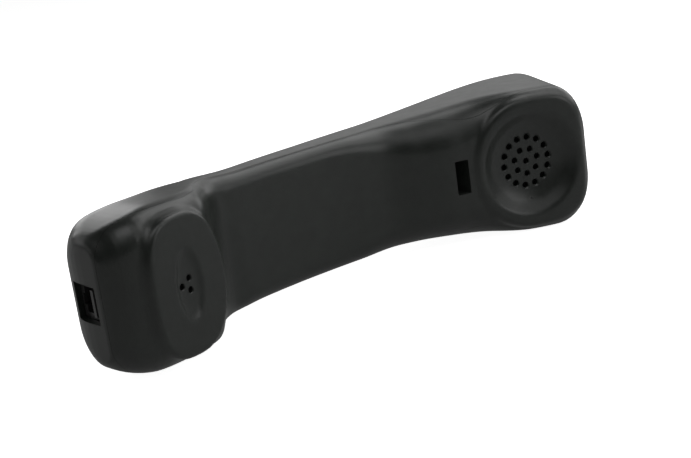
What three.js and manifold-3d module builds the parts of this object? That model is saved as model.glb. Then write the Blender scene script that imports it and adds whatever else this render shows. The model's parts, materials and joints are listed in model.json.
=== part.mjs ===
// Corded desk-telephone handset, in millimetres, +Z up.
// The handset stands on one long side: +X runs from mouthpiece to earpiece, the ear cup and the
// mouthpiece look towards -Y, and the width runs along Z. It is symmetric about its mid-width plane.
import * as THREE from 'three';
import { mergeVertices } from 'three/addons/utils/BufferGeometryUtils.js';
import Module from 'manifold-3d';

const wasm = await Module();
wasm.setup();

// ---------------------------------------------------------------- driving dimensions
// Depths are measured back from the line that joins the centres of the two faces.
const FACE_SPACING = 146.5;
const MOUTH_TOE_IN = THREE.MathUtils.degToRad(12.9);
const EAR_TOE_IN = THREE.MathUtils.degToRad(21.3);
const ORIGIN = { x: 82.6, y: 22.3, z: 25.5 };

const MOUTH_END = -24.3;
const EAR_END = 172.8;
// How far the cross-sections lean along X for each millimetre of depth.
const LEAN = { mouth: -0.05, middle: 0, ear: 0.58 };
const LEAN_BLEND = { mouthFrom: -10, mouthTo: 50, earFrom: 80, earTo: 130 };

const WALL = 2.2;
const SEAM = 0.3;

const HALF_WIDTH = { mouth: 24.3, middle: 21.7, ear: 25.5 };
const WIDTH_BLEND = { mouthFrom: 5, mouthTo: 45, earFrom: 95, earTo: 145 };
const BACK_RADIUS = { mouth: 12, middle: 10.5, ear: 14.8 };
const RADIUS_BLEND = { mouthFrom: -10, mouthTo: 20, earFrom: 100, earTo: 140 };
// Radius of the two front edges, along X: broad over the mouthpiece and over the ramp to the ear cup.
const FRONT_RADIUS = [
  [-24, 8.5], [8, 8.5], [26, 6], [60, 5], [86, 6], [108, 12.5], [124, 12], [146, 5], [175, 5],
];
// The largest corner radii a cross-section takes, as shares of its depth and of its half width.
const CORNER_SHARE = { backDepth: 0.48, frontDepth: 0.45, width: 0.9 };

// [position along X, depth] of the two long outlines in the mid-width plane.
const BACK_LINE = [
  [-30, 32.6], [0, 33.6], [25, 38.4], [60, 44.8], [95, 48.8], [125, 51.6], [148, 48.4], [175, 46],
];
const FRONT_LINE = [
  [-24, 3.4], [-18, 0.4], [-13.5, -0.6], [-6, 0.6], [9, 4.2], [14, 6.8], [18.5, 12.2], [23, 17.6],
  [28, 20.9], [36, 22.2], [60, 24.4], [86, 23.5], [96, 21.2], [104, 16.4], [113, 11.6],
  [120, 9.2], [126, 7.3], [175, -8.4],
];
// The line where the two case halves meet, seen from the side.
const SEAM_LINE = [
  [-40, 7.5], [-20, 6.6], [0, 7.4], [10, 9.4], [15, 13], [19, 19], [24, 24], [36, 26.6], [60, 28.1],
  [90, 28.3], [104, 27.6], [112, 24], [120, 17.6], [128, 11.6], [137, 7.4], [150, 3], [166, -3.6],
  [195, -15.5],
];

// Elliptical rounding of the two ends: length along X, and depth taken off at the very end.
const ROUNDING = {
  mouthWidth: { length: 22, depth: 7.6 },
  mouthBack: { length: 11, depth: 18.7 },
  mouthFront: { length: 6, depth: 4.5 },
  earWidth: { length: 15.5, depth: 15.8 },
  earBack: { length: 26, depth: 21 },
  earFront: { length: 5, depth: 3 },
};

// Raised plates: half sizes, how square the outline is on its mouth and ear sides, and where it sits.
const BOSS = { halfX: 15, halfZ: 21.4, squareness: { mouth: 3, ear: 2.3 }, shift: 1.2, reach: 5, rim: 1 };
const DIMPLE = { halfX: 5.2, halfZ: 10.8, depth: 1, shift: 0.7 };
const EAR_PAD = { halfX: 21, halfZ: 23, squareness: { mouth: 2.1, ear: 3.6 }, shift: 0, reach: 3, rim: 1 };
const DISH = { rim: 18.4, shoulder: 17, shoulderDepth: 1.2, floor: 11.7, depth: 4.6, wall: 1.8, clear: 5 };
// Rings of sound holes: how many, the ring's radius, and the first hole's angle from +X towards +Z.
const EAR_HOLE = {
  radius: 1.05, from: 2, to: 10, rings: [[1, 0, 0], [7, 4.5, -90], [14, 8.65, 82]], shift: 0,
};
const MOUTH_HOLE = { radius: 0.95, from: -2, to: 6, rings: [[3, 2.1, 180]], shift: 0.5 };
const HOLE_SIDES = 10;
const CRADLE_SLOT = { x: 122.2, halfX: 2.4, halfZ: 6, front: 2, floor: 16.4, wall: 1.3, pocketFront: 4 };

// Receiver: radii from the capsule's axis, depths behind the ear face.
const CAPSULE = { radius: 15, front: 8.3, back: 17.4 };
const COLLAR = { inner: 15.5, outer: 17, from: 1.5, to: 12.5 };
const RECEIVER_CLOTH = { radius: 10.8, from: 6.55, to: 6.9 };
const GASKET = { inner: 11.4, outer: 14.7, from: 7, to: 8.2 };
const COVER = { skin: 0.8, lip: 2.6, wall: 0.6 };
const COVER_HOLE = { radius: 1, from: 7.3, to: 10.1, rings: [[1, 0, 0], [6, 5.2, 0]], shift: 0 };
const DIAPHRAGM_PROFILE = [
  [0, 9.5], [3.6, 9.7], [6.2, 10.4], [9.6, 10], [13.6, 10.5], [13.6, 10.7], [9.6, 10.2], [6.2, 10.6],
  [3.6, 9.9], [0, 9.7],
];
const COIL = { inner: 5.75, outer: 6.35, from: 10.75, to: 13.2 };
const BASKET_PROFILE = [
  [10, 12.6], [12.6, 12.6], [12.6, 11.7], [14.1, 11.7], [14.1, 11.2], [14.6, 11.2], [14.6, 14.6], [10, 14.6],
];
const TOP_PLATE = { radius: 5.3, from: 12.6, to: 13.9 };
const MAGNET = { radius: 4.9, from: 14, to: 16.1 };
const YOKE = { core: 7.3, radius: 9.8, from: 12.5, web: 16.2 };
const TERMINALS = { from: [10.2, 14.7, -4.2], to: [13.8, 15.5, 4.2] };
const RETAINER = { screwZ: 19.6, halfX: 3.6, halfZ: 22.4, from: 17.8, to: 19.4, postFrom: 2, holeSlack: 0.1 };

// Microphone: radii from its axis, depths behind the mouthpiece face.
const MIC = {
  radius: 4.85, boot: 6.6, lip: 3.2, seat: 2.3, bootFrom: 2.8, bootTo: 9.4, bootGap: 0.15, capsuleFrom: 4,
  capsuleTo: 8.8,
};
const MIC_CLOTH = { radius: 6.2, from: 2.4, to: 2.7 };
const MIC_COLLAR = { inner: 6.9, outer: 8.3, from: 1.8, to: 9 };

const JACK = { front: -22.3, back: -9.8, low: 9.9, high: 22, halfZ: 5.7 };
const PLUG = {
  low: 13.9, high: 20.1, halfZ: 3.95, back: -11.4, latchHalfZ: 1.75, latchHigh: 21.3, latchBack: -16.4,
};
const TONGUE = { front: -24, low: 12.2, high: 13.6, halfZ: 4.1 };
const JACK_OPENING = { low: 9.3, high: 22.5, halfZ: 6.1, reach: 6 };
const JACK_SHELF = { gap: 0.4, thickness: 1.8, overhang: 1.6 };
const CONTACT = {
  count: 4, pitch: 1.02, width: 0.45, thickness: 0.35, rootX: -19.3, rootY: 13.2, tipX: -12.3, tipY: 15.3,
  toe: 1,
};
const CONTACT_WELL = { halfZ: 2.2, from: -20, low: 12.3 };
const BOARD = { fromX: -17.5, toX: 8, low: 22.4, high: 24, halfZ: 9.5 };
// [place along X, side along Z]
const BOARD_SCREWS = [[-1, -7], [3.5, 7]];

const WEIGHT = { fromX: 50, toX: 98, front: 30.4, back: 37.4, halfZ: 12 };
const WEIGHT_SCREWS = [[56, 0], [92, 0]];
const SCREW = {
  head: 2.4, headHeight: 1.5, headTop: 0.7, shank: 1.25, point: 1.4, slot: 0.6, slotDepth: 0.6,
};
const SCREW_LENGTH = { retainer: 8, board: 8, weight: 10 };
const SCREW_REST = 0.1;
const SCREW_POST = { radius: 2.7, bore: 1.5, gap: 0.3, tipRoom: 0.6 };

const WIRE = { radius: 0.6, sides: 6, step: 6, spacing: 2.4 };
const TERMINAL_PAD = { x: 12, depth: 16.3, halfZ: 1 };
const TERMINAL_RISE = 3;
const RECEIVER_WIRE_ROUTE = [
  [6.6, 21.6, -2], [12, 21.6, 3], [30, 31, 12], [48, 35, 14.6], [98, 37, 14.6], [124, 37, 10], [150, 30, 3],
];
const RECEIVER_WIRE_SPREAD = [1, 1, 0.6, 0.7, 0.7, 1, 1];
const MICROPHONE_WIRE_ROUTE = [[-2.2, 9.6, 1.3], [0.6, 13.6, 1.8], [4.6, 17.6, 3.4], [6.2, 21.6, 4]];

// [place along X, depth it starts at, depth it reaches, gap to the side wall]
const LUGS = [[-4, 4.6, 12.6, 0.5], [40, 25.4, 32, 0.5], [104, 22, 30, 0.7], [154, -0.4, 8, 1.3]];
const LUG = { halfX: 3, thickness: 1.3 };

// Cross-section places: steps round each end, then [reaches this far along X, in this many steps].
const END_STEPS = 6;
const TURNS = [[10, 2], [30, 8], [94, 6], [128, 9]];
const LAST_STEPS = 5;
const SEAM_STEPS = 44;
const RING = 20;
const ROUND = 24;
const SMALL_ROUND = 12;

// ---------------------------------------------------------------- materials
const plastic = (color, roughness) => new THREE.MeshStandardMaterial({ color, roughness, metalness: 0 });
const metal = (color, roughness) => new THREE.MeshStandardMaterial({ color, roughness, metalness: 1 });

const handset = new THREE.Group();
const earFrame = new THREE.Group();
earFrame.position.set(FACE_SPACING, 0, 0);
earFrame.rotation.z = -EAR_TOE_IN;
const mouthFrame = new THREE.Group();
mouthFrame.rotation.z = MOUTH_TOE_IN;
handset.add(earFrame, mouthFrame);
handset.position.set(-ORIGIN.x, -ORIGIN.y, ORIGIN.z);

// ---------------------------------------------------------------- solid helpers
function weld(geometry) {
  const bare = geometry.clone();
  bare.deleteAttribute('normal');
  bare.deleteAttribute('uv');
  return mergeVertices(bare, 1e-4);
}

function solid(geometry, frame) {
  const welded = weld(geometry);
  if (frame) {
    frame.updateMatrix();
    welded.applyMatrix4(frame.matrix);
  }
  return new wasm.Manifold(new wasm.Mesh({
    numProp: 3,
    vertProperties: new Float32Array(welded.attributes.position.array),
    triVerts: new Uint32Array(welded.index.array),
  }));
}

function geometryOf(body) {
  const raw = body.getMesh();
  const geometry = new THREE.BufferGeometry();
  geometry.setAttribute('position', new THREE.BufferAttribute(new Float32Array(raw.vertProperties), 3));
  geometry.setIndex(new THREE.BufferAttribute(new Uint32Array(raw.triVerts), 1));
  return geometry;
}

function place(name, geometry, material, parent = handset) {
  const mesh = new THREE.Mesh(geometry, material);
  mesh.name = name;
  parent.add(mesh);
  return mesh;
}

function block(from, to) {
  const size = to.map((value, i) => value - from[i]);
  const box = new THREE.BoxGeometry(...size);
  return box.translate(...from.map((value, i) => value + size[i] / 2));
}

// A closed ring or disc turned about local Y: corners are [radius, depth] pairs.
function turned(corners, segments = ROUND) {
  const profile = corners.map(([radius, depth]) => new THREE.Vector2(radius, depth));
  const closed = corners[0][0] === 0 ? profile : [...profile, profile[0]];
  return new THREE.LatheGeometry(closed, segments);
}

const disc = (radius, from, to, segments) => (
  turned([[0, from], [radius, from], [radius, to], [0, to]], segments));
const tube = (inner, outer, from, to, segments) => (
  turned([[inner, from], [outer, from], [outer, to], [inner, to]], segments));

// A rounded-square plate with a bevelled edge, parallel to a face and reaching from it into the body.
function facePad(pad) {
  const shape = new THREE.Shape();
  for (let i = 0; i < ROUND; i += 1) {
    const angle = (i / ROUND) * 2 * Math.PI;
    const power = 2 / (Math.cos(angle) < 0 ? pad.squareness.mouth : pad.squareness.ear);
    const x = pad.halfX * Math.sign(Math.cos(angle)) * Math.abs(Math.cos(angle)) ** power;
    const z = pad.halfZ * Math.sign(Math.sin(angle)) * Math.abs(Math.sin(angle)) ** power;
    if (i === 0) shape.moveTo(x + pad.shift, -z);
    else shape.lineTo(x + pad.shift, -z);
  }
  const plate = new THREE.ExtrudeGeometry(shape, {
    depth: pad.reach - pad.rim,
    bevelEnabled: true,
    bevelThickness: pad.rim,
    bevelSize: pad.rim,
    bevelOffset: -pad.rim,
    bevelSegments: 2,
  });
  plate.rotateX(-Math.PI / 2);
  return plate.translate(0, pad.rim, 0);
}

// A round bar along Y.
function rod(radius, x, z, from, to, segments = SMALL_ROUND) {
  return new THREE.CylinderGeometry(radius, radius, to - from, segments).translate(x, (from + to) / 2, z);
}

// ---------------------------------------------------------------- outlines
function smooth(value) {
  const t = THREE.MathUtils.clamp(value, 0, 1);
  return t * t * (3 - 2 * t);
}

// A smooth curve through the knots: cubic between knots, slopes averaged from the spans beside each.
function through(knots, x) {
  const last = knots.length - 1;
  const at = THREE.MathUtils.clamp(x, knots[0][0], knots[last][0]);
  let i = 0;
  while (i < last - 1 && at > knots[i + 1][0]) i += 1;
  const span = (k) => knots[k + 1][0] - knots[k][0];
  const rise = (k) => (knots[k + 1][1] - knots[k][1]) / span(k);
  const slope = (k) => {
    if (k === 0) return rise(0);
    if (k === last) return rise(last - 1);
    return (rise(k - 1) * span(k) + rise(k) * span(k - 1)) / (span(k - 1) + span(k));
  };
  const t = (at - knots[i][0]) / span(i);
  const start = (2 * t ** 3 - 3 * t ** 2 + 1) * knots[i][1] + (t ** 3 - 2 * t ** 2 + t) * span(i) * slope(i);
  const end = (3 * t ** 2 - 2 * t ** 3) * knots[i + 1][1] + (t ** 3 - t ** 2) * span(i) * slope(i + 1);
  return start + end;
}

function rounding(distance, { length, depth }) {
  const inside = THREE.MathUtils.clamp(distance, 0, length);
  return depth * (1 - Math.sqrt(1 - ((length - inside) / length) ** 2));
}

// A size that goes from its mouthpiece value through a middle value to its earpiece value.
function alongHandset(x, blend, { mouth, middle, ear }) {
  const nearMouth = 1 - smooth((x - blend.mouthFrom) / (blend.mouthTo - blend.mouthFrom));
  const nearEar = smooth((x - blend.earFrom) / (blend.earTo - blend.earFrom));
  return middle + (mouth - middle) * nearMouth + (ear - middle) * nearEar;
}

const lean = (x) => alongHandset(x, LEAN_BLEND, LEAN);
const halfWidth = (x) => alongHandset(x, WIDTH_BLEND, HALF_WIDTH);
const backRadius = (x) => alongHandset(x, RADIUS_BLEND, BACK_RADIUS);

// The cross-section at x, drawn in by `inset`: depth limits, half width and its two corner radii.
function crossSection(x, inset) {
  const fromMouth = x - MOUTH_END - inset;
  const fromEar = EAR_END - inset - x;
  const front = through(FRONT_LINE, x) + inset
    + rounding(fromMouth, ROUNDING.mouthFront) + rounding(fromEar, ROUNDING.earFront);
  const back = through(BACK_LINE, x) - inset
    - rounding(fromMouth, ROUNDING.mouthBack) - rounding(fromEar, ROUNDING.earBack);
  const width = halfWidth(x) - inset
    - rounding(fromMouth, ROUNDING.mouthWidth) - rounding(fromEar, ROUNDING.earWidth);
  const widest = width * CORNER_SHARE.width;
  const backCorner = Math.min(backRadius(x) - inset, (back - front) * CORNER_SHARE.backDepth, widest);
  const frontRadius = through(FRONT_RADIUS, x) - inset;
  const frontCorner = Math.min(frontRadius, (back - front) * CORNER_SHARE.frontDepth, widest);
  return { front, back, width, backCorner, frontCorner };
}

// The point of a cross-section a share `turn` of the way round it, starting from the middle of the back.
function sectionPoint({ front, back, width, backCorner, frontCorner }, turn) {
  const quarter = Math.floor(turn * 4 + 1e-6) % 4;
  const perQuarter = RING / 4;
  const step = Math.round(turn * RING) % perQuarter;
  const angle = (quarter + step / (perQuarter - 1)) * (Math.PI / 2);
  const radius = quarter === 0 || quarter === 3 ? backCorner : frontCorner;
  const depth = quarter === 0 || quarter === 3 ? back - radius : front + radius;
  const side = quarter < 2 ? width - radius : radius - width;
  return [depth + radius * Math.cos(angle), side + radius * Math.sin(angle)];
}

// Cross-section places along X: close together round the ends and where the front line turns.
function stationsAlong(inset) {
  const first = MOUTH_END + inset;
  const last = EAR_END - inset;
  const quarter = Math.PI / 2 / END_STEPS;
  const places = [];
  for (let i = 0; i < END_STEPS; i += 1) {
    places.push(first + ROUNDING.mouthWidth.length * (1 - Math.cos(i * quarter)));
  }
  let from = first + ROUNDING.mouthWidth.length;
  for (const [to, steps] of [...TURNS, [last - ROUNDING.earWidth.length, LAST_STEPS]]) {
    for (let i = 0; i < steps; i += 1) places.push(from + ((to - from) * i) / steps);
    from = to;
  }
  for (let i = 0; i <= END_STEPS; i += 1) {
    places.push(last - ROUNDING.earWidth.length * (1 - Math.sin(i * quarter)));
  }
  return places;
}

// The handset's form: a cylinder whose every ring is reshaped to the cross-section at its place.
function form(inset) {
  const places = stationsAlong(inset);
  const geometry = weld(new THREE.CylinderGeometry(1, 1, 1, RING, places.length - 1));
  const position = geometry.attributes.position;
  for (let i = 0; i < position.count; i += 1) {
    const x = places[Math.round((position.getY(i) + 0.5) * (places.length - 1))];
    const radial = Math.hypot(position.getX(i), position.getZ(i));
    const turn = (Math.atan2(position.getX(i), position.getZ(i)) / (2 * Math.PI) + 1) % 1;
    const section = crossSection(x, inset);
    const [edgeDepth, edgeSide] = sectionPoint(section, turn);
    const middleDepth = (section.front + section.back) / 2;
    const depth = radial < 0.5 ? middleDepth : edgeDepth;
    const side = radial < 0.5 ? 0 : edgeSide;
    position.setXYZ(i, x + depth * lean(x), depth, side);
  }
  return geometry;
}

// ---------------------------------------------------------------- case
const outer = solid(form(0)).add(solid(facePad(BOSS), mouthFrame)).add(solid(facePad(EAR_PAD), earFrame));

const dishFace = [
  [0, -DISH.clear], [DISH.rim, -DISH.clear], [DISH.rim, 0], [DISH.shoulder, DISH.shoulderDepth],
  [DISH.floor, DISH.depth], [0, DISH.depth],
];
const dishBacking = [
  [0, -DISH.clear], [DISH.rim + DISH.wall, -DISH.clear], [DISH.rim + DISH.wall, DISH.shoulderDepth],
  [DISH.floor + DISH.wall, DISH.depth + DISH.wall], [0, DISH.depth + DISH.wall],
];

const micPocket = solid(disc(MIC_COLLAR.inner, MIC.seat, MIC_COLLAR.to, ROUND), mouthFrame);
const cavity = solid(form(WALL)).add(micPocket);
const bowl = solid(turned(dishBacking), earFrame).intersect(outer);

// Everything behind the seam line, drawn back by `gap`.
function behindSeam(gap) {
  const shape = new THREE.Shape();
  const from = SEAM_LINE[0][0];
  const to = SEAM_LINE[SEAM_LINE.length - 1][0];
  const farBack = 2 * BACK_LINE[0][1] + BACK_RADIUS.ear;
  shape.moveTo(to, farBack);
  shape.lineTo(from, farBack);
  for (let i = 0; i <= SEAM_STEPS; i += 1) {
    const x = from + ((to - from) * i) / SEAM_STEPS;
    shape.lineTo(x, through(SEAM_LINE, x) + gap);
  }
  const half = HALF_WIDTH.ear + 5;
  const slab = new THREE.ExtrudeGeometry(shape, { depth: 2 * half, bevelEnabled: false });
  return solid(slab.translate(0, 0, -half));
}

function soundHoles({ radius, from, to, rings, shift }, frame) {
  const holes = [];
  for (const [count, ring, first] of rings) {
    for (let i = 0; i < count; i += 1) {
      const angle = THREE.MathUtils.degToRad(first + (i / count) * 360);
      const x = shift + ring * Math.cos(angle);
      const z = ring * Math.sin(angle);
      holes.push(solid(rod(radius, x, z, from, to, HOLE_SIDES), frame));
    }
  }
  return wasm.Manifold.union(holes);
}

function lugs() {
  const pieces = [];
  for (const [x, from, to, gap] of LUGS) {
    const face = halfWidth(x) - WALL - gap;
    for (const side of [-1, 1]) {
      const near = side * (face - LUG.thickness);
      const far = side * face;
      const inner = [x - LUG.halfX, from, Math.min(near, far)];
      pieces.push(solid(block(inner, [x + LUG.halfX, to, Math.max(near, far)])));
    }
  }
  return wasm.Manifold.union(pieces);
}

function slotPocket() {
  const { x, halfX, halfZ, floor, wall, pocketFront } = CRADLE_SLOT;
  return solid(block(
    [x - halfX - wall, pocketFront, -halfZ - wall],
    [x + halfX + wall, floor + wall, halfZ + wall],
  ));
}

function frontShell() {
  const frontHalf = outer.subtract(behindSeam(0));
  const skin = frontHalf.subtract(cavity);
  const inside = [
    bowl,
    solid(tube(COLLAR.inner, COLLAR.outer, COLLAR.from, COLLAR.to), earFrame),
    solid(tube(MIC_COLLAR.inner, MIC_COLLAR.outer, MIC_COLLAR.from, MIC_COLLAR.to), mouthFrame),
    slotPocket(),
    lugs(),
  ];
  const bores = [];
  const postTop = RETAINER.from - SCREW_POST.gap;
  const boreFrom = RETAINER.to - SCREW_LENGTH.retainer - SCREW_POST.tipRoom;
  for (const z of [-RETAINER.screwZ, RETAINER.screwZ]) {
    inside.push(solid(rod(SCREW_POST.radius, 0, z, RETAINER.postFrom, postTop), earFrame));
    bores.push(solid(rod(SCREW_POST.bore, 0, z, boreFrom, RETAINER.to), earFrame));
  }
  const dimple = new THREE.SphereGeometry(1, 16, 8).scale(DIMPLE.halfX, DIMPLE.depth, DIMPLE.halfZ)
    .translate(DIMPLE.shift, 0, 0);
  const slot = block(
    [CRADLE_SLOT.x - CRADLE_SLOT.halfX, CRADLE_SLOT.front, -CRADLE_SLOT.halfZ],
    [CRADLE_SLOT.x + CRADLE_SLOT.halfX, CRADLE_SLOT.floor, CRADLE_SLOT.halfZ],
  );
  const backWall = outer.intersect(behindSeam(0)).subtract(solid(form(WALL + SEAM)));
  return skin.add(wasm.Manifold.union(inside).intersect(outer).subtract(backWall))
    .subtract(wasm.Manifold.union(bores))
    .subtract(solid(turned(dishFace), earFrame))
    .subtract(soundHoles(EAR_HOLE, earFrame))
    .subtract(solid(dimple, mouthFrame))
    .subtract(soundHoles(MOUTH_HOLE, mouthFrame))
    .subtract(solid(slot));
}

// Screw posts on the back shell's inside, from just behind a held part to the back wall.
function backPosts(places, seat, boreTo) {
  const posts = [];
  const bores = [];
  for (const [x, z] of places) {
    posts.push(solid(rod(SCREW_POST.radius, x, z, seat + SCREW_POST.gap, through(BACK_LINE, x))));
    bores.push(solid(rod(SCREW_POST.bore, x, z, seat, boreTo + SCREW_POST.tipRoom)));
  }
  return { posts: wasm.Manifold.union(posts).intersect(outer), bores: wasm.Manifold.union(bores) };
}

function backShell() {
  const half = outer.intersect(behindSeam(SEAM));
  const shelf = solid(block(
    [MOUTH_END, JACK.low - JACK_SHELF.gap - JACK_SHELF.thickness, -JACK.halfZ - JACK_SHELF.overhang],
    [JACK.back, JACK.low - JACK_SHELF.gap, JACK.halfZ + JACK_SHELF.overhang],
  ));
  const opening = solid(block(
    [MOUTH_END - JACK_OPENING.reach, JACK_OPENING.low, -JACK_OPENING.halfZ],
    [MOUTH_END + JACK_OPENING.reach, JACK_OPENING.high, JACK_OPENING.halfZ],
  ));
  const forWeight = backPosts(WEIGHT_SCREWS, WEIGHT.back, WEIGHT.front + SCREW_LENGTH.weight);
  const forBoard = backPosts(BOARD_SCREWS, BOARD.high, BOARD.low + SCREW_LENGTH.board);
  return half.subtract(cavity).add(forWeight.posts).add(forBoard.posts).add(shelf.intersect(half))
    .subtract(forWeight.bores).subtract(forBoard.bores).subtract(opening);
}

const CHARCOAL = 0x2b2d2c;
place('front_shell', geometryOf(frontShell()), plastic(CHARCOAL, 0.55));
place('back_shell', geometryOf(backShell()), plastic(CHARCOAL, 0.55));

// ---------------------------------------------------------------- receiver
function receiver() {
  const { radius, front, back } = CAPSULE;
  const { skin, lip, wall } = COVER;
  const cloth = disc(RECEIVER_CLOTH.radius, RECEIVER_CLOTH.from, RECEIVER_CLOTH.to, ROUND);
  place('receiver_cloth', cloth, plastic(0x17181a, 0.95), earFrame);
  const gasket = tube(GASKET.inner, GASKET.outer, GASKET.from, GASKET.to, ROUND);
  place('receiver_gasket', gasket, plastic(0x222222, 0.98), earFrame);

  const cap = solid(turned([
    [0, front], [radius, front], [radius, front + lip], [radius - wall, front + lip],
    [radius - wall, front + skin], [0, front + skin],
  ]));
  const cover = cap.subtract(soundHoles(COVER_HOLE));
  place('receiver_front_cover', geometryOf(cover), plastic(0x1d1e20, 0.6), earFrame);

  place('receiver_diaphragm', turned(DIAPHRAGM_PROFILE), plastic(0xc9b98a, 0.35), earFrame);
  const coil = tube(COIL.inner, COIL.outer, COIL.from, COIL.to, ROUND);
  place('receiver_voice_coil', coil, metal(0xb4612c, 0.4), earFrame);
  place('receiver_basket', turned(BASKET_PROFILE), plastic(0x202224, 0.6), earFrame);
  const magnet = disc(MAGNET.radius, MAGNET.from, MAGNET.to, ROUND);
  place('receiver_magnet', magnet, metal(0x8d8f92, 0.3), earFrame);
  const plate = disc(TOP_PLATE.radius, TOP_PLATE.from, TOP_PLATE.to, ROUND);
  place('receiver_top_plate', plate, metal(0x9c9ea0, 0.35), earFrame);
  const yoke = turned([
    [0, YOKE.web], [YOKE.core, YOKE.web], [YOKE.core, YOKE.from], [YOKE.radius, YOKE.from],
    [YOKE.radius, back], [0, back],
  ]);
  place('receiver_yoke', yoke, metal(0x97999b, 0.35), earFrame);
  place('receiver_terminal_board', block(TERMINALS.from, TERMINALS.to), plastic(0x2f5d33, 0.5), earFrame);

  const bar = solid(block(
    [-RETAINER.halfX, RETAINER.from, -RETAINER.halfZ],
    [RETAINER.halfX, RETAINER.to, RETAINER.halfZ],
  ));
  const holeSize = SCREW_POST.bore + RETAINER.holeSlack;
  const barHoles = [-RETAINER.screwZ, RETAINER.screwZ].map((z) => (
    solid(rod(holeSize, 0, z, RETAINER.from - 1, RETAINER.to + 1))));
  const retainer = bar.subtract(wasm.Manifold.union(barHoles));
  place('receiver_retainer', geometryOf(retainer), plastic(0x26282a, 0.55), earFrame);
}

// ---------------------------------------------------------------- screws
// A slotted pan-head screw along Y: `side` is 1 when its head is on the +Y side.
function screw(name, x, seat, z, side, length, parent = handset) {
  const { head, headHeight, headTop, shank, point, slot, slotDepth } = SCREW;
  const cap = solid(turned([
    [0, 0], [head, 0], [head, headHeight / 2], [head * headTop, headHeight], [0, headHeight],
  ], SMALL_ROUND));
  const stem = solid(turned([
    [0, -length], [shank, point - length], [shank, headHeight / 4], [0, headHeight / 4],
  ], SMALL_ROUND));
  const cut = solid(block(
    [-slot / 2, headHeight - slotDepth, -2 * head],
    [slot / 2, 2 * headHeight, 2 * head],
  ));
  const mesh = place(name, geometryOf(cap.add(stem).subtract(cut)), metal(0x8a8c8e, 0.35), parent);
  mesh.position.set(x, seat, z);
  if (side < 0) mesh.rotation.x = Math.PI;
}

receiver();
[-RETAINER.screwZ, RETAINER.screwZ].forEach((z, i) => {
  screw(`retainer_screw_${i + 1}`, 0, RETAINER.to + SCREW_REST, z, 1, SCREW_LENGTH.retainer, earFrame);
});

// ---------------------------------------------------------------- microphone
function microphone() {
  const { radius, boot, lip, bootFrom, bootTo, bootGap, capsuleFrom, capsuleTo } = MIC;
  const cloth = disc(MIC_CLOTH.radius, MIC_CLOTH.from, MIC_CLOTH.to, ROUND);
  place('microphone_cloth', cloth, plastic(0x17181a, 0.95), mouthFrame);
  const cup = turned([
    [lip, bootFrom], [boot, bootFrom], [boot, bootTo], [radius + bootGap, bootTo],
    [radius + bootGap, bootFrom + 1], [lip, bootFrom + 1],
  ]);
  place('microphone_boot', cup, plastic(0x161616, 0.9), mouthFrame);
  place('microphone_capsule', disc(radius, capsuleFrom, capsuleTo, ROUND), metal(0xb9bbbc, 0.3), mouthFrame);
}
microphone();

// ---------------------------------------------------------------- jack and its board
function jackHousing() {
  const mouth = TONGUE.front - 4;
  const body = solid(block([JACK.front, JACK.low, -JACK.halfZ], [JACK.back, JACK.high, JACK.halfZ]));
  const tongue = block(
    [TONGUE.front, TONGUE.low, -TONGUE.halfZ],
    [JACK.front + 1, TONGUE.high, TONGUE.halfZ],
  );
  const plugWay = block([mouth, PLUG.low, -PLUG.halfZ], [PLUG.back, PLUG.high, PLUG.halfZ]);
  const latchWay = block(
    [mouth, PLUG.high - 1, -PLUG.latchHalfZ],
    [PLUG.latchBack, PLUG.latchHigh, PLUG.latchHalfZ],
  );
  const well = block(
    [CONTACT_WELL.from, CONTACT_WELL.low, -CONTACT_WELL.halfZ],
    [PLUG.back, PLUG.low + 1, CONTACT_WELL.halfZ],
  );
  return body.add(solid(tongue)).subtract(solid(plugWay)).subtract(solid(latchWay))
    .subtract(solid(well));
}

// A flat spring arm from its root towards its tip, with a bent toe.
function jackContact() {
  const { thickness, width, toe } = CONTACT;
  const length = Math.hypot(CONTACT.tipX - CONTACT.rootX, CONTACT.tipY - CONTACT.rootY);
  const arm = new THREE.Shape();
  arm.moveTo(0, -thickness / 2);
  arm.lineTo(length - toe, -thickness / 2);
  arm.lineTo(length, -thickness * 1.6);
  arm.lineTo(length, -thickness * 0.6);
  arm.lineTo(length - toe, thickness / 2);
  arm.lineTo(0, thickness / 2);
  return new THREE.ExtrudeGeometry(arm, { depth: width, bevelEnabled: false }).translate(0, 0, -width / 2);
}

place('jack_housing', geometryOf(jackHousing()), plastic(0x303233, 0.4));
for (let i = 0; i < CONTACT.count; i += 1) {
  const contact = place(`jack_contact_${i + 1}`, jackContact(), metal(0xd7b25a, 0.25));
  contact.position.set(CONTACT.rootX, CONTACT.rootY, (i - (CONTACT.count - 1) / 2) * CONTACT.pitch);
  contact.rotation.z = Math.atan2(CONTACT.tipY - CONTACT.rootY, CONTACT.tipX - CONTACT.rootX);
}

// A flat part with a screw hole through it at each place.
function drilled(from, to, places) {
  const holes = places.map(([x, z]) => solid(rod(SCREW_POST.bore, x, z, from[1] - 1, to[1] + 1)));
  return geometryOf(solid(block(from, to)).subtract(wasm.Manifold.union(holes)));
}

const card = drilled(
  [BOARD.fromX, BOARD.low, -BOARD.halfZ],
  [BOARD.toX, BOARD.high, BOARD.halfZ],
  BOARD_SCREWS,
);
place('jack_board', card, plastic(0x2c5a34, 0.5));
BOARD_SCREWS.forEach(([x, z], i) => {
  screw(`board_screw_${i + 1}`, x, BOARD.low - SCREW_REST, z, -1, SCREW_LENGTH.board);
});

// ---------------------------------------------------------------- balance weight
const weight = drilled(
  [WEIGHT.fromX, WEIGHT.front, -WEIGHT.halfZ],
  [WEIGHT.toX, WEIGHT.back, WEIGHT.halfZ],
  WEIGHT_SCREWS,
);
place('balance_weight', weight, metal(0x74777a, 0.45));
WEIGHT_SCREWS.forEach(([x, z], i) => {
  screw(`weight_screw_${i + 1}`, x, WEIGHT.front - SCREW_REST, z, -1, SCREW_LENGTH.weight);
});

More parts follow.
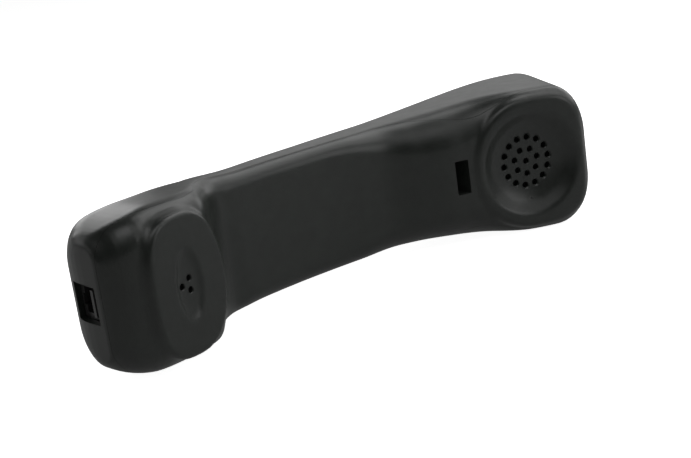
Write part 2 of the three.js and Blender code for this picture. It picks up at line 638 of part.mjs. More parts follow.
// ---------------------------------------------------------------- wires
function wire(name, points, colour) {
  const route = new THREE.CatmullRomCurve3(points, false, 'centripetal');
  const round = new THREE.Shape();
  for (let i = 0; i < WIRE.sides; i += 1) {
    const angle = (i / WIRE.sides) * 2 * Math.PI;
    if (i === 0) round.moveTo(WIRE.radius, 0);
    else round.lineTo(WIRE.radius * Math.cos(angle), WIRE.radius * Math.sin(angle));
  }
  const steps = Math.ceil(route.getLength() / WIRE.step);
  const strand = new THREE.ExtrudeGeometry(round, { extrudePath: route, steps, bevelEnabled: false });
  place(name, strand, plastic(colour, 0.5));
}

function receiverWire(index, side, colour) {
  earFrame.updateMatrix();
  const pad = new THREE.Vector3(TERMINAL_PAD.x, TERMINAL_PAD.depth, side * TERMINAL_PAD.halfZ);
  const end = pad.applyMatrix4(earFrame.matrix);
  const above = end.clone().add(new THREE.Vector3(0, TERMINAL_RISE, 0));
  const points = RECEIVER_WIRE_ROUTE.map(([x, y, z], i) => (
    new THREE.Vector3(x, y, z + index * WIRE.spacing * RECEIVER_WIRE_SPREAD[i])));
  wire(`receiver_wire_${index + 1}`, [...points, above, end], colour);
}
receiverWire(0, -1, 0xb3261e);
receiverWire(1, 1, 0x2a6b3a);

function microphoneWire(index, side, colour) {
  const points = MICROPHONE_WIRE_ROUTE.map(([x, y, z]) => new THREE.Vector3(x, y, side * z));
  wire(`microphone_wire_${index + 1}`, points, colour);
}
microphoneWire(0, -1, 0xd8c23a);
microphoneWire(1, 1, 0x1b1b1d);

export default handset;
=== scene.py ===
# A corded desk-telephone handset standing on its long side, in metres, in the CAD model's frame.
import json
import math

import bmesh
import bpy
import numpy as np
import openvdb as vdb
from mathutils import Matrix, Vector


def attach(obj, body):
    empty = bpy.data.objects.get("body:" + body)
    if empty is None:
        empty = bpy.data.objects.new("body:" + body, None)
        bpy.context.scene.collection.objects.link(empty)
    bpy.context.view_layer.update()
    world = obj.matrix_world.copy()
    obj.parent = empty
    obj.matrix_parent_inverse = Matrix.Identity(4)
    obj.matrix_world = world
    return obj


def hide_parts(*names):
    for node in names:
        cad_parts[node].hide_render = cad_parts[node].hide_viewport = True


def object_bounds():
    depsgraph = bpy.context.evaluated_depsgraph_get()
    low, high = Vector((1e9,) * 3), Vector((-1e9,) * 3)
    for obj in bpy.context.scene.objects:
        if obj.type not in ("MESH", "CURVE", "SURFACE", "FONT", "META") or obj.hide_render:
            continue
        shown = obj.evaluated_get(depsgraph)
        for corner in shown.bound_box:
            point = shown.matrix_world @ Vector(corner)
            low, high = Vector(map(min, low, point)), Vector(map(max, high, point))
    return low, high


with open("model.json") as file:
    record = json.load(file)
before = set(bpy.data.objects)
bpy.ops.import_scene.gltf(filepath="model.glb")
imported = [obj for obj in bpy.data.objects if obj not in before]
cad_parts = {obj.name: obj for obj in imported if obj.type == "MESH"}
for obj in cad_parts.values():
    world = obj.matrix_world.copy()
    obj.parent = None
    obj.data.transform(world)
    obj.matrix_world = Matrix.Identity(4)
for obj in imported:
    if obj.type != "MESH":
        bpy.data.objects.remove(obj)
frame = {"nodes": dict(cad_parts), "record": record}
CAD_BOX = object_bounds()
NODES = frame["nodes"]

# ------------------------------------------------------------------ sizes, in millimetres
# x runs from the mouthpiece face to the earpiece face, depth runs back from the line between the two
# faces, and z is measured from the mid-width plane.
MM = 0.001
ORIGIN = np.array([82.6, 22.3, -25.5])
FACE_SPACING = 146.5
MOUTH_TOE_IN = math.radians(12.9)
EAR_TOE_IN = math.radians(21.3)
MOUTH_END, EAR_END = -24.3, 172.8
WALL = 2.2
SEAM_GAP = 0.1
# The visible surface lies this far inside the nominal one, so that it stays within the CAD model's box.
DRAW_IN = 0.03
LEAN = (-0.05, 0.0, 0.58)
LEAN_BLEND = (-10, 50, 80, 130)
HALF_WIDTH = (24.3, 21.7, 25.5)
WIDTH_BLEND = (5, 45, 95, 145)
BACK_RADIUS = (12, 10.5, 14.8)
RADIUS_BLEND = (-10, 20, 100, 140)
# The largest corner radii a section takes, as shares of its depth and of its half width.
CORNER_SHARE = {"back": 0.48, "front": 0.45, "width": 0.9}
FRONT_RADIUS = [
    (-24, 8.5), (8, 8.5), (26, 6), (60, 5), (86, 6), (108, 12.5), (124, 12), (146, 5), (175, 5),
]
BACK_LINE = [
    (-30, 32.6), (0, 33.6), (25, 38.4), (60, 44.8), (95, 48.8), (125, 51.6), (148, 48.4), (175, 46),
]
FRONT_LINE = [
    (-24, 3.4), (-18, 0.4), (-13.5, -0.6), (-6, 0.6), (9, 4.2), (14, 6.8), (18.5, 12.2), (23, 17.6),
    (28, 20.9), (36, 22.2), (60, 24.4), (86, 23.5), (96, 21.2), (104, 16.4), (113, 11.6), (120, 9.2),
    (126, 7.3), (175, -8.4),
]
SEAM_LINE = [
    (-40, 7.5), (-20, 6.6), (0, 7.4), (10, 9.4), (15, 13), (19, 19), (24, 24), (36, 26.6), (60, 28.1),
    (90, 28.3), (104, 27.6), (112, 24), (120, 17.6), (128, 11.6), (137, 7.4), (150, 3), (166, -3.6),
    (195, -15.5),
]
# Rounding of the two ends: length along x, and depth taken off at the very end.
MOUTH_WIDTH_END, MOUTH_BACK_END, MOUTH_FRONT_END = (22, 7.6), (11, 18.7), (6, 4.5)
EAR_WIDTH_END, EAR_BACK_END, EAR_FRONT_END = (15.5, 15.8), (26, 21), (5, 3)
# Raised plates: half sizes, how square the outline is on its mouth and ear sides, and its roundings.
BOSS = {
    "half_x": 15, "half_z": 21.4, "power": (3.0, 2.3), "shift": 1.2, "reach": 5, "edge": 1.4, "fillet": 2.0,
}
PAD = {
    "half_x": 21, "half_z": 23, "power": (2.1, 3.6), "shift": 0, "reach": 3, "edge": 1.6, "fillet": 1.6,
}
DIMPLE = {"half_x": 5.2, "half_z": 10.8, "depth": 1.0, "shift": 0.7, "power": 5, "rim_radius": 0.3}
DISH = {
    "rim": 18.6, "shoulder": 17.2, "shoulder_depth": 1.2, "floor": 11.7, "depth": 4.6, "wall": 1.8,
    "front": -4, "rim_radius": 0.9, "shoulder_radius": 0.8, "floor_radius": 2.2,
}
# Rings of sound holes: how many, the ring's radius, and the first hole's angle from x towards z.
EAR_RINGS = [(1, 0, 0), (7, 4.5, -90), (14, 8.65, 82)]
EAR_HOLE_RADIUS, MOUTH_HOLE_RADIUS = 1.05, 0.95
MOUTH_RINGS = [(3, 2.1, 180)]
MOUTH_HOLE_SHIFT = 0.5
HOLE_FLARE, HOLE_EDGE = 0.5, 0.22
EAR_HOLE_REACH, MOUTH_HOLE_REACH = 8.0, 5.0
SLOT = {
    "x": 122.2, "half_x": 2.4, "half_z": 6, "front": 2, "floor": 16.4, "wall": 1.3, "wall_front": 10.2,
    "edge": 0.35,
}
JACK_OPENING = {"low": 9.6, "high": 22.2, "half_z": 5.8, "reach": 6, "edge": 0.4}

VOXEL = 0.56
BAND = 4.0
FIELD_LOW = np.array([-34.0, -9.0, -30.0])
FIELD_HIGH = np.array([196.0, 58.0, 30.0])
# How many cross-sections, and points in each corner, the outer surface and the cavity are lofted from.
OUTER_STEPS, CAVITY_STEPS = (150, 14), (90, 8)
MOUTH_TURN, EAR_TURN, TURN_STEPS = 22, 26, 15


# ------------------------------------------------------------------ outlines
def smooth(value):
    t = np.clip(value, 0, 1)
    return t * t * (3 - 2 * t)


def along(x, blend, values):
    near_mouth = 1 - smooth((x - blend[0]) / (blend[1] - blend[0]))
    near_ear = smooth((x - blend[2]) / (blend[3] - blend[2]))
    mouth, middle, ear = values
    return middle + (mouth - middle) * near_mouth + (ear - middle) * near_ear


def through(knots, x):
    """A smooth curve through the knots, cubic between them."""
    kx = np.array([k[0] for k in knots], float)
    ky = np.array([k[1] for k in knots], float)
    span = np.diff(kx)
    rise = np.diff(ky) / span
    slope = np.empty(len(kx))
    slope[0], slope[-1] = rise[0], rise[-1]
    slope[1:-1] = (rise[:-1] * span[1:] + rise[1:] * span[:-1]) / (span[1:] + span[:-1])
    at = np.clip(x, kx[0], kx[-1])
    i = np.clip(np.searchsorted(kx, at, side="right") - 1, 0, len(span) - 1)
    t = (at - kx[i]) / span[i]
    start = (2 * t**3 - 3 * t**2 + 1) * ky[i] + (t**3 - 2 * t**2 + t) * span[i] * slope[i]
    end = (3 * t**2 - 2 * t**3) * ky[i + 1] + (t**3 - t**2) * span[i] * slope[i + 1]
    return start + end


def rounding(distance, end):
    length, depth = end
    inside = np.clip(distance, 0, length)
    return depth * (1 - np.sqrt(np.maximum(0, 1 - ((length - inside) / length) ** 2)))


def cross_section(x, inset, per_corner):
    """Points round the handset's section at x, drawn in by `inset`."""
    from_mouth = x - MOUTH_END - inset
    from_ear = EAR_END - inset - x
    front = through(FRONT_LINE, x) + inset
    front += rounding(from_mouth, MOUTH_FRONT_END) + rounding(from_ear, EAR_FRONT_END)
    back = through(BACK_LINE, x) - inset
    back -= rounding(from_mouth, MOUTH_BACK_END) + rounding(from_ear, EAR_BACK_END)
    width = along(x, WIDTH_BLEND, HALF_WIDTH) - inset
    width -= rounding(from_mouth, MOUTH_WIDTH_END) + rounding(from_ear, EAR_WIDTH_END)
    deep, widest = back - front, width * CORNER_SHARE["width"]
    behind = min(along(x, RADIUS_BLEND, BACK_RADIUS) - inset, deep * CORNER_SHARE["back"], widest)
    before = min(through(FRONT_RADIUS, x) - inset, deep * CORNER_SHARE["front"], widest)
    quarter = np.linspace(0, math.pi / 2, per_corner)
    corners = (
        (back - behind, width - behind, behind, 0), (front + before, width - before, before, 1),
        (front + before, before - width, before, 2), (back - behind, behind - width, behind, 3),
    )
    ring = []
    for depth, side, radius, turn in corners:
        angle = quarter + turn * math.pi / 2
        ring.append(np.c_[depth + radius * np.cos(angle), side + radius * np.sin(angle)])
    ring = np.vstack(ring)
    lean = along(x, LEAN_BLEND, LEAN)
    return np.c_[x + ring[:, 0] * lean, ring]


def loft(inset, steps, per_corner):
    """The handset's plain form as points and faces, closed at both ends."""
    first, last = MOUTH_END + inset, EAR_END - inset
    bend = 1 - np.cos(np.linspace(0, math.pi / 2, TURN_STEPS))
    places = np.unique(np.r_[
        first + MOUTH_TURN * bend, np.linspace(first + MOUTH_TURN, last - EAR_TURN, steps),
        last - EAR_TURN * bend,
    ])
    rings = [cross_section(x, inset, per_corner) for x in places]
    count = len(rings[0])
    points = np.vstack(rings)
    faces = []
    for i in range(len(rings) - 1):
        for j in range(count):
            k = (j + 1) % count
            faces.append((i * count + j, (i + 1) * count + j, (i + 1) * count + k, i * count + k))
    base = len(points)
    points = np.vstack([points, rings[0].mean(0), rings[-1].mean(0)])
    for j in range(count):
        k = (j + 1) % count
        faces.append((base, j, k))
        faces.append((base + 1, base - count + k, base - count + j))
    return points, faces


# ------------------------------------------------------------------ the outside as a distance field
class Field:
    """Signed distances on a regular grid of points round the handset."""

    def __init__(self):
        self.start = np.floor(FIELD_LOW / VOXEL).astype(int)
        stop = np.ceil(FIELD_HIGH / VOXEL).astype(int)
        axes = [np.arange(a, b) * VOXEL for a, b in zip(self.start, stop)]
        self.x = axes[0][:, None, None].astype(np.float32)
        self.y = axes[1][None, :, None].astype(np.float32)
        self.z = axes[2][None, None, :].astype(np.float32)
        self.shape = tuple(len(a) for a in axes)
        self.transform = vdb.createLinearTransform(voxelSize=VOXEL)

    def of_mesh(self, points, faces):
        quads = np.array([f for f in faces if len(f) == 4], np.uint32)
        tris = np.array([f for f in faces if len(f) == 3], np.uint32)
        grid = vdb.FloatGrid.createLevelSetFromPolygons(
            np.ascontiguousarray(points, np.float32), triangles=tris, quads=quads,
            transform=self.transform, halfWidth=BAND / VOXEL)
        values = np.full(self.shape, BAND, np.float32)
        grid.copyToArray(values, ijk=tuple(int(v) for v in self.start))
        return values

    def mesh(self, values, level=0.0):
        grid = vdb.FloatGrid(BAND)
        grid.copyFromArray(np.clip(values, -BAND, BAND), ijk=tuple(int(v) for v in self.start))
        grid.transform = self.transform
        points, tris, quads = grid.convertToPolygons(isovalue=level, adaptivity=0.0)
        faces = [tuple(int(i) for i in f)[::-1] for f in tris]
        faces += [tuple(int(i) for i in f)[::-1] for f in quads]
        return points, faces

    def mouth(self):
        c, s = math.cos(MOUTH_TOE_IN), math.sin(MOUTH_TOE_IN)
        return self.x * c + self.y * s, self.y * c - self.x * s

    def ear(self):
        c, s = math.cos(EAR_TOE_IN), math.sin(EAR_TOE_IN)
        x = self.x - FACE_SPACING
        return x * c - self.y * s, x * s + self.y * c


def join(a, b, radius):
    """Union with a fillet of that radius."""
    inner = np.maximum(radius - a, 0)
    other = np.maximum(radius - b, 0)
    return np.maximum(radius, np.minimum(a, b)) - np.hypot(inner, other)


def common(a, b, radius):
    """What two solids share, with its edge rounded to that radius."""
    return -join(-a, -b, radius)


def plate(local_x, depth, z, size):
    """A rounded-square plate that starts at depth 0."""
    x = np.abs(local_x - size["shift"]) / size["half_x"]
    w = np.abs(z) / size["half_z"]
    p = np.where(local_x < size["shift"], size["power"][0], size["power"][1])
    r = (x**p + w**p + 1e-9) ** (1 / p)
    slope = np.hypot(x ** (p - 1) / size["half_x"], w ** (p - 1) / size["half_z"]) * r ** (1 - p)
    around = (r - 1) / np.maximum(slope, 1e-3)
    return common(np.clip(around, -9, 9), np.maximum(-depth, depth - size["reach"]), size["edge"])


def dish(local_x, depth, z):
    """The hollow of the earpiece: a cone with a short steep lip and a flat floor."""
    radial = np.hypot(local_x, z)
    walls = []
    corners = [
        (DISH["rim"], 0.0), (DISH["shoulder"], DISH["shoulder_depth"]), (DISH["floor"], DISH["depth"]),
    ]
    for (r0, d0), (r1, d1) in zip(corners, corners[1:]):
        length = math.hypot(r1 - r0, d1 - d0)
        walls.append(((radial - r0) * (d1 - d0) - (depth - d0) * (r1 - r0)) / length)
    side = common(walls[0], walls[1], DISH["shoulder_radius"])
    return common(side, depth - DISH["depth"], DISH["floor_radius"])


def dimple(local_x, depth, z):
    """Everything but the shallow oval hollow round the mouthpiece's holes."""
    r = np.hypot((local_x - DIMPLE["shift"]) / DIMPLE["half_x"], z / DIMPLE["half_z"])
    return DIMPLE["depth"] * (1 - np.minimum(r, 3) ** DIMPLE["power"]) - depth


def outside():
    """The handset's smooth outer surface as one closed mesh."""
    field = Field()
    body = field.of_mesh(*loft(0.0, *OUTER_STEPS))
    x, depth = field.mouth()
    body = join(body, plate(x, depth, field.z, BOSS), BOSS["fillet"])
    body = common(body, dimple(x, depth, field.z), DIMPLE["rim_radius"])
    x, depth = field.ear()
    body = join(body, plate(x, depth, field.z, PAD), PAD["fillet"])
    body = common(body, -dish(x, depth, field.z), DISH["rim_radius"])
    return field.mesh(body, -DRAW_IN)


# ------------------------------------------------------------------ mesh helpers
def to_frame(points):
    """Millimetres from the mouthpiece face to metres in the CAD model's frame."""
    return (np.asarray(points, float) - ORIGIN) * MM


def make(name, points, faces):
    mesh = bpy.data.meshes.new(name)
    mesh.from_pydata([tuple(p) for p in to_frame(points)], [], faces)
    mesh.validate()
    obj = bpy.data.objects.new(name, mesh)
    bpy.context.scene.collection.objects.link(obj)
    return obj


def face_out(obj):
    bm = bmesh.new()
    bm.from_mesh(obj.data)
    bmesh.ops.recalc_face_normals(bm, faces=bm.faces)
    bm.to_mesh(obj.data)
    bm.free()
    return obj


def apply_modifiers(obj):
    graph = bpy.context.evaluated_depsgraph_get()
    mesh = bpy.data.meshes.new_from_object(obj.evaluated_get(graph))
    obj.modifiers.clear()
    old = obj.data
    obj.data = mesh
    bpy.data.meshes.remove(old)
    return obj


def combine(obj, other, operation, keep=False):
    """Boolean of two closed meshes. The other one is used up unless it is kept."""
    modifier = obj.modifiers.new("cut", "BOOLEAN")
    modifier.solver = "MANIFOLD"
    modifier.operation = operation
    modifier.object = other
    apply_modifiers(obj)
    if not keep:
        drop(other)
    return obj


def drop(obj):
    mesh = obj.data
    bpy.data.objects.remove(obj)
    bpy.data.meshes.remove(mesh)


def copy_of(obj, name):
    twin = bpy.data.objects.new(name, obj.data.copy())
    bpy.context.scene.collection.objects.link(twin)
    return twin


def placed(points, spot):
    """Turns face-frame points (x, depth, z) into handset points."""
    x, depth, z = np.asarray(points, float).T
    if spot == "ear":
        c, s = math.cos(EAR_TOE_IN), math.sin(EAR_TOE_IN)
        return np.c_[FACE_SPACING + x * c + depth * s, depth * c - x * s, z]
    if spot == "mouth":
        c, s = math.cos(MOUTH_TOE_IN), math.sin(MOUTH_TOE_IN)
        return np.c_[x * c - depth * s, depth * c + x * s, z]
    return np.c_[x, depth, z]


def lathe(name, profile, spot="", centre=(0, 0), sides=48):
    """A solid turned about a line along the depth: profile is (radius, depth), both ends on the line."""
    rings = len(profile)
    points = []
    faces = []
    for radius, depth in profile:
        for i in range(sides):
            a = 2 * math.pi * i / sides
            points.append((centre[0] + radius * math.cos(a), depth, centre[1] + radius * math.sin(a)))
    for r in range(rings - 1):
        for i in range(sides):
            k = (i + 1) % sides
            faces.append((r * sides + i, r * sides + k, (r + 1) * sides + k, (r + 1) * sides + i))
    faces.append(tuple(range(sides))[::-1])
    faces.append(tuple((rings - 1) * sides + i for i in range(sides)))
    return face_out(make(name, placed(points, spot), faces))


def block(name, low, high, bevel=0.0):
    corners = [(x, y, z) for x in (low[0], high[0]) for y in (low[1], high[1]) for z in (low[2], high[2])]
    faces = [(0, 1, 3, 2), (4, 6, 7, 5), (0, 4, 5, 1), (2, 3, 7, 6), (0, 2, 6, 4), (1, 5, 7, 3)]
    obj = face_out(make(name, corners, faces))
    if bevel:
        modifier = obj.modifiers.new("edge", "BEVEL")
        modifier.width = bevel * MM
        modifier.segments = 2
        apply_modifiers(obj)
    return obj


def merged(name, parts):
    """Several closed meshes that don't touch, as one object."""
    bm = bmesh.new()
    for part in parts:
        bm.from_mesh(part.data)
    mesh = bpy.data.meshes.new(name)
    bm.to_mesh(mesh)
    bm.free()
    obj = bpy.data.objects.new(name, mesh)
    bpy.context.scene.collection.objects.link(obj)
    for part in parts:
        drop(part)
    return obj


def sound_holes(name, rings, radius, top, bottom, spot, shift=0.0):
    """Cutters for rings of holes with a small flare at their outer ends."""
    holes = []
    for count, ring, first in rings:
        for i in range(count):
            a = math.radians(first + 360 * i / count)
            start = top + HOLE_EDGE
            profile = [(radius + HOLE_FLARE, start - HOLE_FLARE), (radius, start), (radius, bottom)]
            centre = (shift + ring * math.cos(a), ring * math.sin(a))
            holes.append(lathe(name, profile, spot, centre, 32))
    return merged(name, holes)


def behind_seam(name, gap):
    """Everything behind the line where the two case halves meet."""
    steps = 240
    x = np.linspace(SEAM_LINE[0][0], SEAM_LINE[-1][0], steps)
    y = through(SEAM_LINE, x) + gap
    half = 40
    low = [(a, b, -half) for a, b in zip(x, y)] + [(x[-1], 90, -half), (x[0], 90, -half)]
    count = len(low)
    points = low + [(a, b, half) for a, b, _ in low]
    faces = [tuple(range(count)), tuple(range(2 * count - 1, count - 1, -1))]
    for i in range(count):
        k = (i + 1) % count
        faces.append((i, k, count + k, count + i))
    return face_out(make(name, points, faces))


def finish_surface(obj, angle=32):
    mesh = obj.data
    for polygon in mesh.polygons:
        polygon.use_smooth = True
    mesh.set_sharp_from_angle(angle=math.radians(angle))
    return obj


# ------------------------------------------------------------------ case
def add_bowl(front, body):
    """Backs the ear dish with its own wall."""
    wide, narrow = DISH["rim"] + DISH["wall"], DISH["floor"] + DISH["wall"]
    deep = DISH["depth"] + DISH["wall"]
    bowl = lathe("bowl", [
        (0.01, DISH["front"]), (wide, DISH["front"]), (wide, DISH["shoulder_depth"]), (narrow, deep),
        (0.01, deep),
    ], "ear")
    combine(bowl, body, "INTERSECT", keep=True)
    combine(front, bowl, "UNION")


def add_slot_pocket(front, body):
    """The walls round the cradle slot."""
    half_x, half_z = SLOT["half_x"] + SLOT["wall"], SLOT["half_z"] + SLOT["wall"]
    pocket = block("pocket", (SLOT["x"] - half_x, SLOT["wall_front"], -half_z),
                   (SLOT["x"] + half_x, SLOT["floor"] + SLOT["wall"], half_z))
    combine(pocket, body, "INTERSECT", keep=True)
    combine(front, pocket, "UNION")


def cut_front(front):
    slot = block("slot", (SLOT["x"] - SLOT["half_x"], SLOT["front"], -SLOT["half_z"]),
                 (SLOT["x"] + SLOT["half_x"], SLOT["floor"], SLOT["half_z"]), bevel=SLOT["edge"])
    combine(front, slot, "DIFFERENCE")
    ear = sound_holes("ear_holes", EAR_RINGS, EAR_HOLE_RADIUS, DISH["depth"], EAR_HOLE_REACH, "ear")
    combine(front, ear, "DIFFERENCE")
    mouth = sound_holes("mouth_holes", MOUTH_RINGS, MOUTH_HOLE_RADIUS, DIMPLE["depth"],
                        MOUTH_HOLE_REACH, "mouth", MOUTH_HOLE_SHIFT)
    combine(front, mouth, "DIFFERENCE")


def case_halves():
    """Both halves of the case, hollow, parted along the seam line."""
    body = make("body", *outside())
    face_out(body)
    cavity = face_out(make("cavity", *loft(WALL, *CAVITY_STEPS)))
    back = copy_of(body, "back_case")
    combine(back, behind_seam("behind", SEAM_GAP), "INTERSECT")
    combine(back, cavity, "DIFFERENCE", keep=True)
    front = copy_of(body, "front_case")
    combine(front, behind_seam("behind", 0.0), "DIFFERENCE")
    combine(front, cavity, "DIFFERENCE")
    add_bowl(front, body)
    add_slot_pocket(front, body)
    drop(body)
    cut_front(front)
    low, high, half_z, reach, edge = JACK_OPENING.values()
    opening = block("opening", (MOUTH_END - reach, low, -half_z),
                    (MOUTH_END + reach, high, half_z), bevel=edge)
    combine(back, opening, "DIFFERENCE")
    return finish_surface(front), finish_surface(back)


# ------------------------------------------------------------------ materials
def new_material(name):
    material = bpy.data.materials.new(name)
    material.use_nodes = True
    tree = material.node_tree
    shader = tree.nodes["Principled BSDF"]
    return material, tree, shader


def noise(tree, scale, detail=3.0, rough=0.6):
    place = tree.nodes.new("ShaderNodeTexCoord")
    node = tree.nodes.new("ShaderNodeTexNoise")
    node.inputs["Scale"].default_value = scale
    node.inputs["Detail"].default_value = detail
    node.inputs["Roughness"].default_value = rough
    tree.links.new(place.outputs["Object"], node.inputs["Vector"])
    return node.outputs["Fac"]


def ramp(tree, source, stops):
    node = tree.nodes.new("ShaderNodeValToRGB")
    elements = node.color_ramp.elements
    while len(elements) < len(stops):
        elements.new(0.5)
    for element, (place, colour) in zip(elements, stops):
        element.position = place
        element.color = (*colour, 1) if len(colour) == 3 else colour
    tree.links.new(source, node.inputs["Fac"])
    return node.outputs["Color"]


def spread(tree, source, low, high):
    node = tree.nodes.new("ShaderNodeMapRange")
    node.inputs["From Min"].default_value = 0.3
    node.inputs["From Max"].default_value = 0.7
    node.inputs["To Min"].default_value = low
    node.inputs["To Max"].default_value = high
    tree.links.new(source, node.inputs["Value"])
    return node.outputs["Result"]


def bump(tree, shader, source, strength, distance, before=None):
    node = tree.nodes.new("ShaderNodeBump")
    node.inputs["Strength"].default_value = strength
    node.inputs["Distance"].default_value = distance
    tree.links.new(source, node.inputs["Height"])
    if before is not None:
        tree.links.new(before, node.inputs["Normal"])
    tree.links.new(node.outputs["Normal"], shader.inputs["Normal"])
    return node.outputs["Normal"]


def surface(name, dark, light, rough, grain=1500.0, relief=0.2, depth=0.00004, metal=0.0, **sockets):
    """A material whose colour, roughness and surface all vary with a fine grain."""
    material, tree, shader = new_material(name)
    coarse = noise(tree, grain * 0.08, 4)
    fine = noise(tree, grain, 2)
    tree.links.new(ramp(tree, coarse, [(0.3, dark), (0.7, light)]), shader.inputs["Base Color"])
    tree.links.new(spread(tree, coarse, rough[0], rough[1]), shader.inputs["Roughness"])
    bump(tree, shader, fine, relief, depth)
    shader.inputs["Metallic"].default_value = metal
    for key, value in sockets.items():
        shader.inputs[key.replace("_", " ")].default_value = value
    return material


def grey(value, tint=(1, 1, 1)):
    return tuple(value * t for t in tint)


def materials():
    green = (0.93, 1.08, 0.95)
    return {
        "case_plastic": surface("case_plastic", grey(0.018, green), grey(0.023, green), (0.32, 0.37),
                                grain=2600, relief=0.10, depth=0.00003),
        "jack_plastic": surface("jack_plastic", grey(0.03), grey(0.04), (0.3, 0.4), grain=1800),
        "dark_plastic": surface("dark_plastic", grey(0.010), grey(0.016), (0.4, 0.55), grain=1800),
        "cloth": surface("cloth", grey(0.004), grey(0.012), (0.85, 0.98), grain=5200, relief=0.9),
        "foam": surface("foam", grey(0.01), grey(0.022), (0.9, 1.0), grain=3200, relief=0.9),
        "boot_rubber": surface("boot_rubber", grey(0.008), grey(0.013), (0.65, 0.8), grain=1500),
        "membrane": surface("membrane", (0.55, 0.46, 0.26), (0.64, 0.54, 0.33), (0.25, 0.35), grain=900),
        "copper_winding": surface("copper_winding", (0.5, 0.2, 0.08), (0.62, 0.27, 0.12), (0.3, 0.45),
                                  grain=6000, relief=0.6, metal=1.0),
        "magnet": surface("magnet", grey(0.3), grey(0.38), (0.3, 0.42), grain=1600, metal=1.0),
        "steel": surface("steel", grey(0.42), grey(0.52), (0.28, 0.42), grain=2400, metal=1.0),
        "weight_steel": surface("weight_steel", grey(0.22), grey(0.32), (0.42, 0.6), grain=1200,
                                relief=0.4, metal=1.0),
        "capsule_can": surface("capsule_can", grey(0.5), grey(0.6), (0.24, 0.34), grain=2200, metal=1.0),
        "circuit_board": surface("circuit_board", (0.012, 0.07, 0.03), (0.02, 0.10, 0.045), (0.35, 0.5),
                                 grain=1400),
        "contact_gold": surface("contact_gold", (0.75, 0.5, 0.16), (0.85, 0.6, 0.22), (0.18, 0.28),
                                grain=3000, metal=1.0),
        "wire_red": surface("wire_red", (0.32, 0.012, 0.01), (0.42, 0.02, 0.016), (0.4, 0.5), grain=1500),
        "wire_green": surface("wire_green", (0.015, 0.12, 0.03), (0.02, 0.17, 0.045), (0.4, 0.5),
                              grain=1500),
        "wire_yellow": surface("wire_yellow", (0.55, 0.4, 0.03), (0.68, 0.5, 0.05), (0.4, 0.5), grain=1500),
        "wire_black": surface("wire_black", grey(0.008), grey(0.014), (0.4, 0.5), grain=1500),
    }


# ------------------------------------------------------------------ studio
def paper(name, glow):
    """Pale seamless paper with a faint grain."""
    material, tree, shader = new_material(name)
    fine = noise(tree, 60, 3)
    tree.links.new(ramp(tree, fine, [(0.3, grey(0.84)), (0.7, grey(0.87))]), shader.inputs["Base Color"])
    shader.inputs["Roughness"].default_value = 0.9
    shader.inputs["Emission Color"].default_value = (1, 1, 1, 1)
    shader.inputs["Emission Strength"].default_value = glow
    bump(tree, shader, noise(tree, 900, 2), 0.05, 0.0001)
    return material


def sheet(name, height, glow):
    """A wide level sheet of paper, twelve metres across."""
    half = 6.0
    mesh = bpy.data.meshes.new(name)
    corners = [(-half, -half, height), (half, -half, height), (half, half, height), (-half, half, height)]
    mesh.from_pydata(corners, [], [(0, 1, 2, 3)])
    obj = bpy.data.objects.new(name, mesh)
    bpy.context.scene.collection.objects.link(obj)
    mesh.materials.append(paper(name, glow))
    return obj


def floor():
    """A lit backdrop the camera sees, and a plain pale one that only gives bounce light."""
    seen = sheet("floor", 0, 0.95)
    seen.visible_diffuse = False
    seen.visible_glossy = False
    bounce = sheet("floor_bounce", -0.0005, 0.16)
    bounce.visible_camera = False


def area_light(name, azimuth, elevation, power, target):
    a, e = math.radians(azimuth), math.radians(elevation)
    towards = Vector((math.sin(a) * math.cos(e), -math.cos(a) * math.cos(e), math.sin(e)))
    data = bpy.data.lights.new(name, "AREA")
    data.shape = "RECTANGLE"
    data.size = data.size_y = PANEL_WIDTH
    data.energy = power
    obj = bpy.data.objects.new(name, data)
    obj.location = target + towards * PANEL_DISTANCE
    obj.rotation_euler = (-towards).to_track_quat("-Z", "Y").to_euler()
    bpy.context.scene.collection.objects.link(obj)


# Soft square panels: azimuth and elevation seen from the handset, and power. Sizes are in metres.
PANEL_WIDTH, PANEL_DISTANCE = 0.55, 1.1
PANELS = [
    ("back_panel", 170, 20, 2.1), ("right_back_panel", 100, 20, 1.5), ("right_front_panel", 30, 20, 1.6),
    ("right_low_panel", 65, 20, 0.8), ("back_softbox", 110, 50, 2.1), ("right_softbox", 65, 50, 1.7),
    ("top_softbox", -30, 72, 1.6), ("left_back_panel", -150, 20, 0.7), ("left_panel", -110, 20, 0.5),
    ("front_softbox", 15, 50, 0.6), ("camera_softbox", -38, 50, 0.5), ("edge_panel", 135, 20, 0.7),
]
WORLD_LIGHT = 0.02


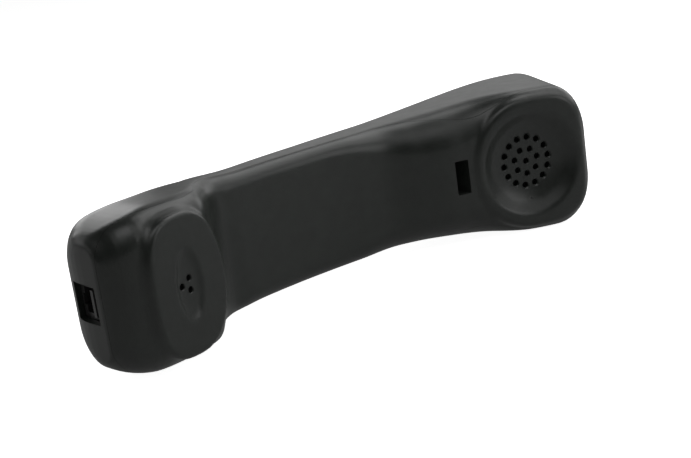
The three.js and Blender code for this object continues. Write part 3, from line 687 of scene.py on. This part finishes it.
def studio():
    low, high = Vector(CAD_BOX[0]), Vector(CAD_BOX[1])
    target = (low + high) / 2
    for name, azimuth, elevation, power in PANELS:
        area_light(name, azimuth, elevation, power, target)
    world = bpy.data.worlds.new("studio")
    world.use_nodes = True
    world.node_tree.nodes["Background"].inputs["Color"].default_value = (1, 1, 1, 1)
    world.node_tree.nodes["Background"].inputs["Strength"].default_value = WORLD_LIGHT
    bpy.context.scene.world = world
    bpy.context.scene.view_settings.view_transform = "Standard"


# The viewpoint, in degrees, metres and millimetres of lens.
VIEW = {"azimuth": 38.24, "elevation": 14.77, "roll": 8.31, "lens": 68.57, "sensor": 36}
VIEW_PLACE = (-0.2697, -0.3351, 0.1307)


def camera():
    """The viewpoint: in front of the mouthpiece end, a little above, rolled to the right."""
    azimuth, elevation, roll = (math.radians(VIEW[key]) for key in ("azimuth", "elevation", "roll"))
    forward = Vector((math.sin(azimuth) * math.cos(elevation), math.cos(azimuth) * math.cos(elevation),
                      -math.sin(elevation)))
    level = forward.cross(Vector((0, 0, 1))).normalized()
    upright = level.cross(forward)
    up = upright * math.cos(roll) + level * math.sin(roll)
    right = forward.cross(up)
    data = bpy.data.cameras.new("camera")
    data.sensor_width = VIEW["sensor"]
    data.lens = VIEW["lens"]
    data.clip_start = 0.01
    data.clip_end = 50
    obj = bpy.data.objects.new("camera", data)
    bpy.context.scene.collection.objects.link(obj)
    turn = Matrix((right, up, -forward)).transposed().to_4x4()
    obj.matrix_world = Matrix.Translation(VIEW_PLACE) @ turn
    bpy.context.scene.camera = obj


# ------------------------------------------------------------------ assembly
def dress(obj, material):
    obj.data.materials.clear()
    obj.data.materials.append(material)


def build():
    finishes = materials()
    front, back = case_halves()
    for piece, node in ((front, "front_shell"), (back, "back_shell")):
        dress(piece, finishes["case_plastic"])
        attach(piece, "case")
        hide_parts(node)
    for entry in frame["record"]["subparts"]:
        node = NODES[entry["node"]]
        node.data.materials.clear()
        node.data.materials.append(finishes[entry["material_slot"]])
    floor()
    studio()
    camera()


build()
